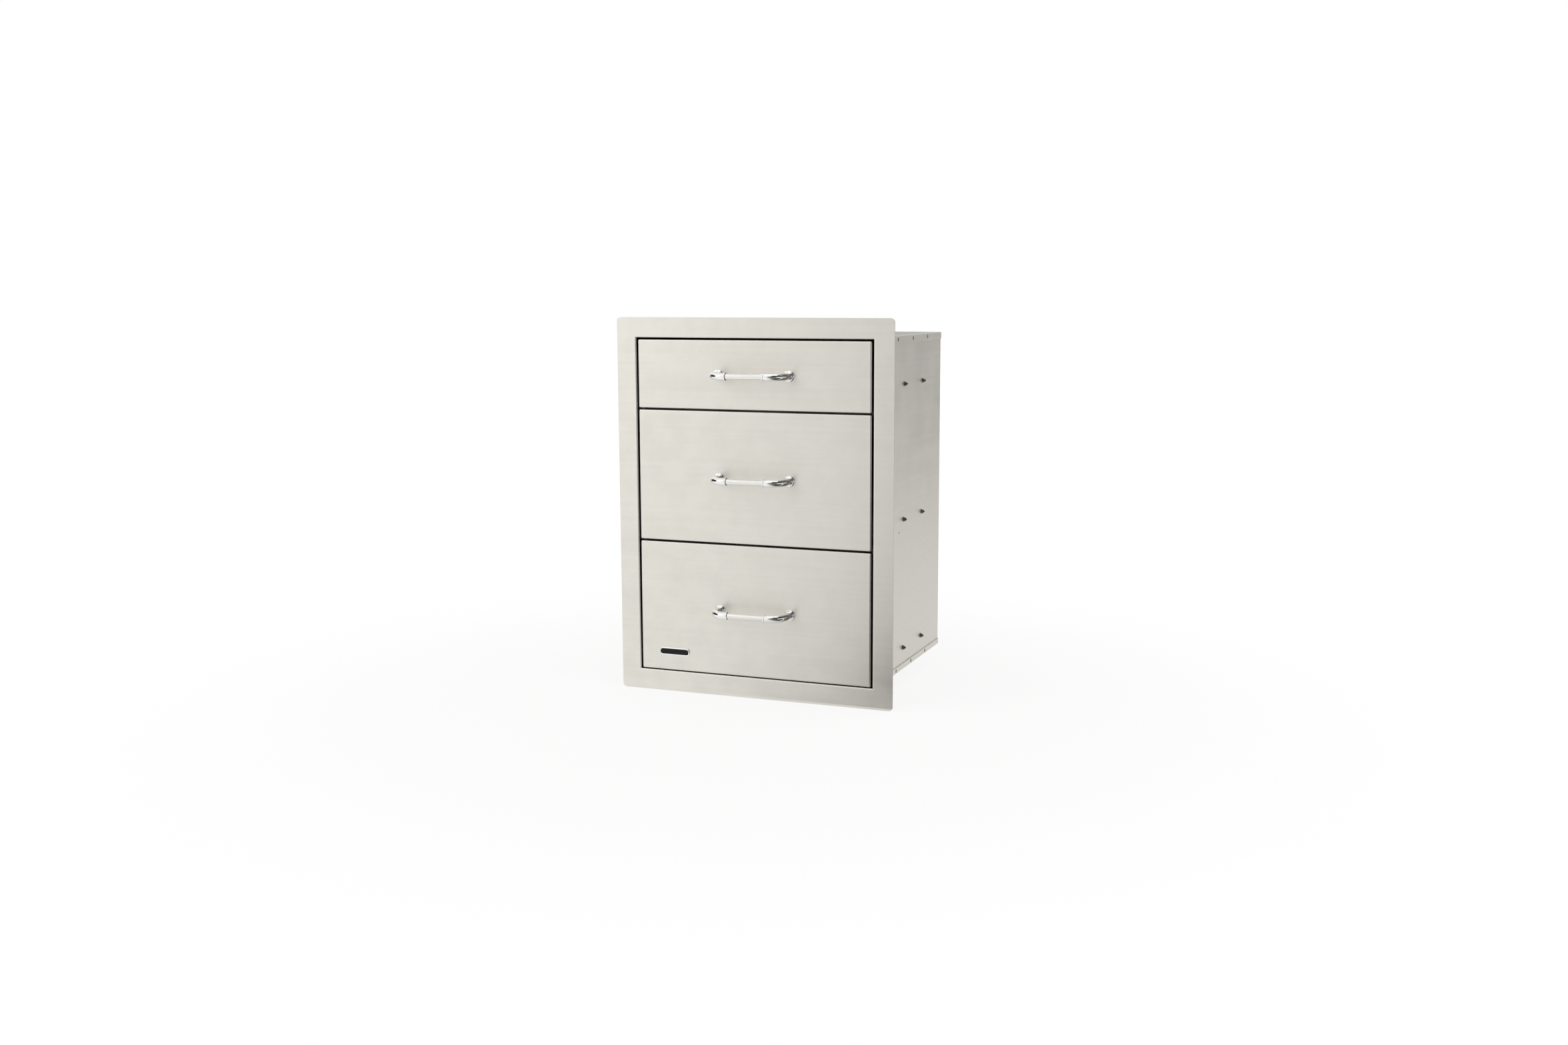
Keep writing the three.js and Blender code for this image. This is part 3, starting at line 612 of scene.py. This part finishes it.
def makeSlideMember(name, node, sign, body, opensOut):
    # A channel: its web lies at the outside, or at the inside where the channel opens outwards
    low, high = nodeBox(node)
    if node.endswith("outer_slide"):
        wall = nodeBox("right_side_panel")[0][0]
        low[0], high[0] = (low[0], wall) if sign > 0 else (-wall, high[0])
        middle = slideMiddle(node)
        low[2], high[2] = middle - slideShape["height"] / 2, middle + slideShape["height"] / 2
    web, tip = (high[0], low[0]) if (sign > 0) != opensOut else (low[0], high[0])
    outline = channelOutline(web, tip, low[2], high[2], slideShape["sheet"], slideShape["bend"])
    makePiece(name, [carried(outline, 1, low, high)], body, slideSteel, [node])


def ballShell(radius, centre):
    # A low sphere, because there are hundreds
    turn = np.linspace(0, np.pi, slideShape["ballRings"])
    profile = np.stack([-radius * np.cos(turn), radius * np.sin(turn)], 1)
    return turned(profile, centre, 1, slideShape["ballFacets"])


def makeBallCage(name, node, sign, body):
    # A channel with a row of balls through each flange
    low, high = nodeBox(node)
    sheet, ball = slideShape["cageSheet"], slideShape["ballRadius"]
    web, tip = (high[0], low[0]) if sign > 0 else (low[0], high[0])
    half = (high[2] - low[2]) / 2 - ball
    middle = (low[2] + high[2]) / 2
    outline = channelOutline(web, tip, middle - half - sheet / 2, middle + half + sheet / 2, sheet,
                             slideShape["cageBend"])
    makePiece(name, [carried(outline, 1, low, high)], body, slideSteel, [node])
    first, last = low[1] + slideShape["cageEnd"], high[1] - slideShape["cageEnd"]
    count = int((high[1] - low[1] - 2 * slideShape["cageEnd"]) / slideShape["ballPitch"]) + 1
    places = np.linspace(first, last, count)
    across = tip + sign * (ball + slideShape["cageEdge"])
    balls = [ballShell(ball, [across, place, middle + level * half]) for place in places for level in (-1, 1)]
    makePiece(f"{name}Balls", balls, body, ballSteel)


def makeNuts(name, node, sign):
    # A flanged nut on its screw's end. Outside the flange its radius is the smaller of a hexagon's
    # and of a cone's, which chamfers the corners; the screw's end swells and shrinks with its thread.
    low, wall, shape = nodeBox(node)[0], nodeBox("right_side_panel")[1][0], nutShape
    nut, flange, corner, end = shape["height"], shape["flangeHeight"], shape["corner"], shape["end"]
    tip = nut + shape["tip"]
    thread = np.linspace(nut, tip - shape["tipCone"], shape["threadRings"])
    swell = shape["threadDepth"] * np.cos(2 * np.pi * thread / shape["threadPitch"])
    profile = np.vstack([
        [[0, 0], [0, shape["flange"]], [flange * 0.5, shape["flange"]],
         [flange, shape["flange"] - shape["flangeSlope"]], [flange * 1.5, corner], [flange * 1.6, corner],
         [nut - 2 * shape["cone"], corner], [nut - shape["cone"], corner], [nut, end],
         [nut, end - shape["land"]], [nut, shape["bore"]]],
        np.stack([thread, shape["screw"] - shape["threadSink"] + swell], 1),
        [[tip, shape["screw"] - shape["tipDraw"]], [tip, 0]]])

    def hexagon(angle, along):
        flats = shape["width"] / 2 / np.cos(np.mod(angle, np.pi / 3) - np.pi / 6)
        onNut = (along > flange * 1.4) & (along <= nut)
        return np.where(onNut, np.minimum(flats, shape["cutCorner"]), 1.0)

    places = low[1] + shape["inset"] + np.arange(shape["screws"]) * shape["pitch"]
    shells = [turned(profile * [sign, 1], [sign * wall, place, slideMiddle(node)], 0, shape["facets"],
                     lambda angle, along: hexagon(angle, sign * along)) for place in places]
    makePiece(name, shells, "cabinet", nutZinc)


for drawer in drawers:
    for side, sign in sideSigns.items():
        label = f"{drawer}{side.capitalize()}"
        for part, body in (("outer", "cabinet"), ("middle", f"{drawer}_middle_slides"),
                           ("inner", f"{drawer}_drawer")):
            makeSlideMember(f"{label}{part.capitalize()}Slide", f"{drawer}_{side}_{part}_slide", sign, body,
                            part == "inner")
        for part in ("outer", "inner"):
            makeBallCage(f"{label}{part.capitalize()}Cage", f"{drawer}_{side}_{part}_ball_cage", sign,
                         f"{drawer}_{part}_cages")
        makeNuts(f"{label}Nuts", f"{drawer}_{side}_outer_slide", sign)
print("slides made")

# Drawers

frontShape = dict(sheet=0.001, bend=0.0014, corner=0.0027, inset=0.02, linerReturn=0.010, linerGap=0.00005)
trayShape = dict(sheet=0.001, bend=0.001, lip=0.010)
handleShape = dict(
    span=0.141, baseRadius=0.0105, edgeHeight=0.0008, faceRadius=0.0094, faceHeight=0.0024, neckRadius=0.0076,
    neckHeight=0.0034, tubeRadius=0.0067, flare=0.0002, bendRadius=0.026, collarRadius=0.0074,
    collarWidth=0.0026, socketRadius=0.0057, socketDepth=0.006, barRadius=0.0054, barEdge=0.0005,
    neckLead=0.0012, grooveWidth=0.0012, collarLead=0.0006, collarStep=0.0002, pole=0.001, tubeRings=40,
    facets=48, baseSoft=(0, cutEdge, 0.0004, 0.0008, 0.0007, 0.0016, 0),
    endSoft=(0, 0.0006, 0.0007, cutEdge, cutEdge, 0))
screwShape = dict(
    radius=0.0048, height=0.0026, crown=0.35, rings=22, facets=64, armHalf=0.13, armWall=0.05, armReach=0.55,
    armEnd=0.1, recess=0.0012)


def makeFront(drawer):
    # Two pans, each drawn as inside face, inside of the fold, rim, outside, fold and outer face. The skin's
    # rim points back, and the liner's points forwards inside the skin's.
    low, high = nodeBox(f"{drawer}_drawer_front")
    sheet, inset, bend = (frontShape[key] for key in ("sheet", "inset", "bend"))
    front, rear, let = low[1], high[1], sheet + frontShape["linerGap"]
    for part, node, side, face, rim, slotName, material in (
            ("Skin", "drawer_front", 0, front, rear, "front_steel", frontSteel),
            ("Liner", "front_liner", let, rear, rear - frontShape["linerReturn"], "body_steel", bodySteel)):
        inner = face + math.copysign(sheet, rim - face)
        pan = softProfile([[inset, inner], [side + sheet, inner], [side + sheet, rim], [side, rim],
                           [side, face], [inset, face]], [0, bend, cutEdge, cutEdge, bend + sheet, 0])
        makePiece(f"{drawer}Front{part}", [framed(pan, low[[0, 2]], high[[0, 2]], frontShape["corner"])],
                  f"{drawer}_drawer", material, [f"{drawer}_{node}"])


def makeTray(drawer):
    low, high = nodeBox(f"{drawer}_tray")
    lip = high[0] - trayShape["lip"]
    path = [[-lip, high[2]], [low[0], high[2]], [low[0], low[2]], [high[0], low[2]], [high[0], high[2]],
            [lip, high[2]]]
    outline = foldedOutline(path, trayShape["sheet"], trayShape["bend"])
    makePiece(f"{drawer}Tray", [carried(outline, 1, low, high)], f"{drawer}_drawer",
              bodySteel, [f"{drawer}_tray"])
    low, high = nodeBox(f"{drawer}_tray_back")
    path = [[high[1], low[2]], [high[1], high[2]], [low[1], high[2]]]
    outline = foldedOutline(path, trayShape["sheet"], trayShape["bend"])
    makePiece(f"{drawer}TrayBack", [carried(outline, 0, low, high)], f"{drawer}_drawer",
              bodySteel, [f"{drawer}_tray_back"])


def elbowRings(profile, sign, base, reach):
    # Rings round the elbow's centre line: straight out of the front, a quarter bend, straight in to the
    # bar. At the length s, the line has turned by a = (s - post) / bend, kept between 0 and a right angle.
    along, radius = profile.T
    bend = handleShape["bendRadius"]
    post = reach - bend
    turn = np.clip((along - post) / bend, 0, np.pi / 2)
    inwards = np.maximum(0, along - post - bend * np.pi / 2)
    lineX = base[0] - sign * (bend * (1 - np.cos(turn)) + inwards)
    lineY = base[1] - np.minimum(along, post) - bend * np.sin(turn)
    angle = ringAngles(handleShape["facets"])
    outX, outY = sign * np.cos(turn), -np.sin(turn)
    level = radius[:, None] * np.cos(angle)
    points = np.stack([
        lineX[:, None] + level * outX[:, None], lineY[:, None] + level * outY[:, None],
        base[2] + radius[:, None] * np.sin(angle)], -1)
    return shell(points)


def handleProfile(reach, half, barEnd):
    # Length along the centre line and radius there: base disc, rim, shoulder, hollow neck, tube that
    # flares towards the collar, collar with chamfers, and the socket's inside
    shape = handleShape
    bend, tube, pole = shape["bendRadius"], shape["tubeRadius"], shape["pole"]
    whole = reach - bend + bend * np.pi / 2 + half - bend - barEnd
    collar = whole - shape["collarWidth"]
    start = shape["neckHeight"] + shape["neckLead"]
    base = softProfile(
        [[0, pole], [0, shape["baseRadius"]], [shape["edgeHeight"], shape["baseRadius"]],
         [shape["faceHeight"], shape["faceRadius"]], [shape["faceHeight"], shape["neckRadius"]],
         [shape["neckHeight"], tube], [start, tube]], shape["baseSoft"])
    share = np.linspace(0, 1, shape["tubeRings"])[1:]
    middle = np.stack([start + share * (collar - shape["grooveWidth"] - start),
                       tube + shape["flare"] * share ** 3], 1)
    socket = whole - shape["socketDepth"]
    end = softProfile(
        [[collar - shape["collarLead"], tube + shape["flare"]],
         [collar - shape["collarStep"], shape["collarRadius"]], [whole, shape["collarRadius"]],
         [whole, shape["socketRadius"]], [socket, shape["socketRadius"]], [socket, pole]], shape["endSoft"])
    profile = np.vstack([base, middle, end])
    return np.vstack([[0, 0], profile, [profile[-1, 0], 0]])


def makeHandle(drawer):
    barLow, barHigh = nodeBox(f"{drawer}_handle_bar")
    barMiddle = (barLow + barHigh) / 2
    front = nodeBox(f"{drawer}_drawer_front")[0][1]
    reach = front - barMiddle[1]
    half, barEnd = handleShape["span"] / 2, nodeBox(f"{drawer}_right_handle_end")[0][0] - barMiddle[0]
    for side, sign in sideSigns.items():
        base = [barMiddle[0] + sign * half, front, barMiddle[2]]
        rings = elbowRings(handleProfile(reach, half, barEnd), sign, base, reach)
        makePiece(f"{drawer}{side.capitalize()}HandleEnd", [rings], f"{drawer}_drawer",
                  handleChrome, [f"{drawer}_{side}_handle_end"])
    length = barHigh[0] - barMiddle[0]
    radius, pole, edge = handleShape["barRadius"], handleShape["pole"], handleShape["barEdge"]
    bar = softProfile([[-length, pole], [-length, radius], [length, radius], [length, pole]],
                      [0, edge, edge, 0])
    bar = np.vstack([[-length, 0], bar, [length, 0]])
    makePiece(f"{drawer}HandleBar", [turned(bar, barMiddle, 0, handleShape["facets"])], f"{drawer}_drawer",
              barSteel, [f"{drawer}_handle_bar"])
    makeHandleScrews(drawer, half, barMiddle)


def makeHandleScrews(drawer, half, middle):
    # Pan heads inside the drawer. At the share s of the radius the head is height * (1 - crown * s ** 4)
    # high, and a cross recess is pressed in where the distance from either arm's middle is small.
    rear, shape = nodeBox(f"{drawer}_drawer_front")[1][1], screwShape
    share, angle = np.linspace(1, 0, shape["rings"])[:, None], ringAngles(shape["facets"])
    across, up = np.abs(share * np.cos(angle)), np.abs(share * np.sin(angle))
    recess = (np.clip((shape["armHalf"] - np.minimum(across, up)) / shape["armWall"], 0, 1)
              * np.clip((shape["armReach"] - np.maximum(across, up)) / shape["armEnd"], 0, 1))
    top = shape["height"] * (1 - shape["crown"] * share ** 4) - shape["recess"] * recess
    depth = np.vstack([np.zeros((2, shape["facets"])), top])
    radius = shape["radius"] * np.vstack([[[0], [1]], share])
    shells = [shell(np.stack([middle[0] + sign * half + radius * np.cos(angle), rear + depth,
                              middle[2] + radius * np.sin(angle)], -1)) for sign in signs]
    makePiece(f"{drawer}HandleScrews", shells, f"{drawer}_drawer", slideSteel)


for drawer in drawers:
    makeFront(drawer)
    makeTray(drawer)
    makeHandle(drawer)
print("drawers made")

# Bumpers on the divider rails, and the blank badge

bumperShape = dict(radius=0.0045, place=0.15, gap=0.0003, facets=28)
badgeShape = dict(
    rimWidth=0.0026, rimDraft=0.0001, rimFoot=0.0001, rimOuter=0.0012, rimInner=0.0007, fieldSink=0.0007,
    fieldRise=0.35, fieldOverlap=0.0002, fieldSeat=0.0001, fieldRings=8, endSteps=25)


def makeBumpers(rail):
    low, high = nodeBox(f"{rail}_divider_rail")
    rise = low[1] - nodeBox("upper_drawer_front")[1][1] - bumperShape["gap"]
    profile = domeProfile(bumperShape["radius"], rise) * [-1, 1]
    shells = [turned(profile, [sign * bumperShape["place"], low[1], (low[2] + high[2]) / 2], 1,
                     bumperShape["facets"]) for sign in signs]
    makePiece(f"{rail}Bumpers", shells, "cabinet", bumperRubber)


def pillLoops(profile, low, high):
    # Rings of a bar with round ends, each drawn in by its inset
    inset, depth = np.asarray(profile, float).T
    radius, steps = (high[2] - low[2]) / 2, badgeShape["endSteps"]
    angle = np.r_[np.linspace(-np.pi / 2, np.pi / 2, steps), np.linspace(np.pi / 2, 1.5 * np.pi, steps)]
    centre = np.repeat([high[0] - radius, low[0] + radius], steps)
    drawn = (radius - inset)[:, None]
    across = centre + drawn * np.cos(angle)
    up = (low[2] + high[2]) / 2 + drawn * np.sin(angle)
    return np.stack([across, np.broadcast_to(depth[:, None], across.shape), up], -1)


def makeBadge():
    # A rim with a soft outer edge, and a field sunk behind its face by sink * (1 - rise * sin(pi * s / 2)),
    # with s from 0 beside the rim to 1 in the middle
    low, high = nodeBox("blank_badge")
    front, rear, width, shape = low[1], high[1], badgeShape["rimWidth"], badgeShape
    rim = roundCorners([[0, rear], [shape["rimDraft"], front], [width, front], [width, rear]],
                       [shape["rimFoot"], shape["rimOuter"], shape["rimInner"], shape["rimFoot"]])
    makePiece("badgeRim", [shell(pillLoops(rim, low, high), wrapRows=True)], "lower_drawer",
              handleChrome, ["blank_badge"])
    edge = width - shape["fieldOverlap"]
    share = np.linspace(0, 1, shape["fieldRings"])
    inset = edge + share * ((high[2] - low[2]) / 2 - edge)
    crown = front + shape["fieldSink"] * (1 - shape["fieldRise"] * np.sin(share * np.pi / 2))
    field = np.vstack([[edge, rear - shape["fieldSeat"]], np.stack([inset, crown], 1)])
    makePiece("badgeField", [shell(pillLoops(field, low, high))], "lower_drawer", badgeEnamel)


for rail in rails:
    makeBumpers(rail)
makeBadge()
print("bumpers and badge made")

# Floor, world, lamps and camera

floorLook = dict(
    rings=(0, 0.4, 0.8, 1.6, 3, 6, 14), facets=64, middleY=0.2, nearFade=0.5, farFade=1.3, glow=0.85)
worldLook = {"background": 1.0, "ambient": 0.85}
white = (1, 1, 1, 1)


def makeFloor():
    # A disc of rings. Near the object it is a pale floor that takes its shadow, and further out it fades
    # into the white background.
    ring, angle = np.array(floorLook["rings"], float)[:, None], ringAngles(floorLook["facets"])
    level = np.full((len(ring), len(angle)), flangeLow[2])
    points = np.stack([ring * np.cos(angle), ring * np.sin(angle) + floorLook["middleY"], level], -1)
    floor, mesh = newObject("floor", *shell(points, caps=False))
    mergeSeams(mesh, outwards=False)
    material, tree, shader = newMaterial("paleFloor", {
        "Base Color": (0.82, 0.82, 0.81, 1), "Roughness": 0.9, "Specular IOR Level": 0.1})
    distance = addNode(tree, "ShaderNodeVectorMath", {"operation": "LENGTH"}, links={0: objectPlace(tree)})
    fade = mapRange(tree, distance.outputs["Value"], floorLook["nearFade"], floorLook["farFade"],
                    floorLook["glow"], 1.0)
    glow = addNode(tree, "ShaderNodeEmission", values={"Color": white, "Strength": 1.0})
    mix = addNode(tree, "ShaderNodeMixShader", links={
        0: maths(tree, "MULTIPLY", fade, seenDirectly(tree)), 1: shader.outputs["BSDF"],
        2: glow.outputs["Emission"]})
    tree.links.new(mix.outputs["Shader"], tree.nodes["Material Output"].inputs["Surface"])
    mesh.materials.append(material)


def seenDirectly(tree):
    # 1 for rays from the camera, from gloss and through glass
    path = addNode(tree, "ShaderNodeLightPath")
    seen = maths(tree, "MAXIMUM", path.outputs["Is Camera Ray"], path.outputs["Is Glossy Ray"])
    return maths(tree, "MAXIMUM", seen, path.outputs["Is Transmission Ray"])


# Turn is the angle from straight ahead towards the object's right side. Each stop is a turn, or a place
# across the floor, and the tone there: 1 is as bright as the studio.
turnSteps, cardAway = 49, 3.6
cardLooks = [
    dict(
        name="frontRightCard", height=(-0.02, 0.9),
        stops=((-16, 1.0), (-5, 0.2), (10, 0.03), (98, 0.03), (110, 1.0))),
    dict(
        name="frontRightHighCard", height=(0.9, 2.6),
        stops=((-12, 1.0), (2, 0.35), (30, 0.15), (98, 0.06), (110, 1.0))),
    dict(name="rightTopCard", height=(2.6, 9.0), stops=((8, 1.0), (24, 0.05), (98, 0.05), (110, 1.0))),
    dict(
        name="rightGlowCard", height=(0.25, 1.1), away=3.4,
        stops=((48, 0.1), (56, 1.0), (92, 1.0), (100, 0.2))),
    dict(name="backLeftCard", height=(-0.02, 2.2), stops=((186, 1.0), (194, 0.02), (296, 0.02), (305, 1.0))),
    dict(name="backRightCard", height=(-0.02, 2.4), stops=((112, 1.0), (130, 0.55), (168, 0.5), (182, 1.0))),
]
floorCardLooks = [
    dict(
        name="floorCard", along=(-3.2, 0.0), lift=0.004,
        stops=((-0.45, 1.0), (-0.15, 0.95), (0.08, 0.72), (0.3, 0.42), (0.6, 0.3), (1.4, 0.45), (2.6, 1.0))),
    dict(
        name="floorStripCard", along=(-0.9, -0.08), lift=0.006,
        stops=((0.12, 0.7), (0.26, 0.02), (1.1, 0.02), (1.5, 0.4))),
]


def makeCard(name, points, tones):
    # A studio card that keeps part of the white studio out of what gloss reflects: only gloss sees it. Its
    # tone runs evenly from one stop to the next.
    card, mesh = newObject(name, *shell(points, wrapColumns=False, caps=False))
    shade = mesh.attributes.new("cardTone", "FLOAT", "POINT")
    shade.data.foreach_set("value", np.broadcast_to(tones, points.shape[:2]).ravel())
    card.visible_camera = card.visible_diffuse = card.visible_transmission = False
    card.visible_shadow = card.visible_volume_scatter = False
    material, tree, shader = newMaterial(f"{name}Paper", {
        "Base Color": (0, 0, 0, 1), "Specular IOR Level": 0.0, "Roughness": 1.0, "Emission Strength": 1.0})
    toneAt = addNode(tree, "ShaderNodeAttribute", {"attribute_name": "cardTone"})
    tree.links.new(toneAt.outputs["Fac"], shader.inputs["Emission Color"])
    mesh.materials.append(material)


def makeCards():
    for look in cardLooks:
        turns, tones = np.array(look["stops"]).T
        turn = np.linspace(turns[0], turns[-1], turnSteps)
        points = np.empty((2, len(turn), 3))
        away = look.get("away", cardAway)
        points[..., 0] = away * np.sin(np.radians(turn))
        points[..., 1] = -away * np.cos(np.radians(turn))
        points[..., 2] = np.array(look["height"])[:, None]
        makeCard(look["name"], points, np.interp(turn, turns, tones))
    for look in floorCardLooks:
        places, tones = np.array(look["stops"]).T
        across, along = np.meshgrid(places, look["along"])
        lift = np.full_like(across, flangeLow[2] + look["lift"])
        makeCard(look["name"], np.stack([across, along, lift], -1), tones)


def makeWorld():
    world = bpy.data.worlds.new("studio")
    world.use_nodes = True
    bpy.context.scene.world = world
    tree = world.node_tree
    tree.nodes.clear()
    seen, plain = (addNode(tree, "ShaderNodeBackground", values={"Color": white, "Strength": worldLook[key]})
                   for key in ("background", "ambient"))
    mix = addNode(tree, "ShaderNodeMixShader", links={
        0: seenDirectly(tree), 1: plain.outputs["Background"], 2: seen.outputs["Background"]})
    out = addNode(tree, "ShaderNodeOutputWorld")
    tree.links.new(mix.outputs["Shader"], out.inputs["Surface"])


def placed(name, data, right, up, back, position):
    # The object's X, Y and Z axes are right, up and back
    thing = bpy.data.objects.new(name, data)
    bpy.context.scene.collection.objects.link(thing)
    matrix = np.eye(4)
    matrix[:3] = np.stack([right, up, back, position], 1)
    thing.matrix_world = Matrix(matrix.tolist())
    return thing


def addLamp(name, look):
    lamp = bpy.data.lights.new(name, "AREA")
    lamp.shape, lamp.size, lamp.size_y = "RECTANGLE", look["width"], look["height"]
    lamp.energy, lamp.color = look["power"], look["colour"]
    back = unit(np.subtract(look["position"], look["target"]))
    right = unit(np.cross([0, 0, 1], back))
    placed(name, lamp, right, np.cross(back, right), back, look["position"])


def makeCamera(look):
    # Yaw turns the view to the left of +Y, pitch looks down, and roll turns the picture about the view
    yaw, pitch, roll = (math.radians(look[key]) for key in ("yaw", "pitch", "roll"))
    forward = np.array([-math.sin(yaw) * math.cos(pitch), math.cos(yaw) * math.cos(pitch), -math.sin(pitch)])
    level = np.array([math.cos(yaw), math.sin(yaw), 0])
    up = np.cross(level, forward)
    right = level * math.cos(roll) + up * math.sin(roll)
    up = up * math.cos(roll) - level * math.sin(roll)
    camera = bpy.data.cameras.new("photoCamera")
    camera.lens, camera.sensor_width, camera.clip_end = look["lens"], look["sensor"], look["farthest"]
    bpy.context.scene.camera = placed("photoCamera", camera, right, up, -forward, look["position"])


makeFloor()
makeCards()
makeWorld()
addLamp("keyLamp", dict(
    width=2.2, height=2.2, power=17, colour=(1.0, 0.985, 0.96), position=(-2.8, -2.6, 2.0),
    target=(0, 0, 0.35)))
addLamp("topLamp", dict(
    width=2.4, height=1.6, power=12, colour=(1.0, 0.99, 0.975), position=(0.3, -0.6, 3.0),
    target=(0, 0.1, 0.3)))
makeCamera(dict(
    position=(1.1471, -2.7610, 0.7482), yaw=21.449, pitch=8.225, roll=-0.193, lens=37.236, sensor=36,
    farthest=60))
bpy.context.scene.view_settings.view_transform = "Standard"
print("stage made")
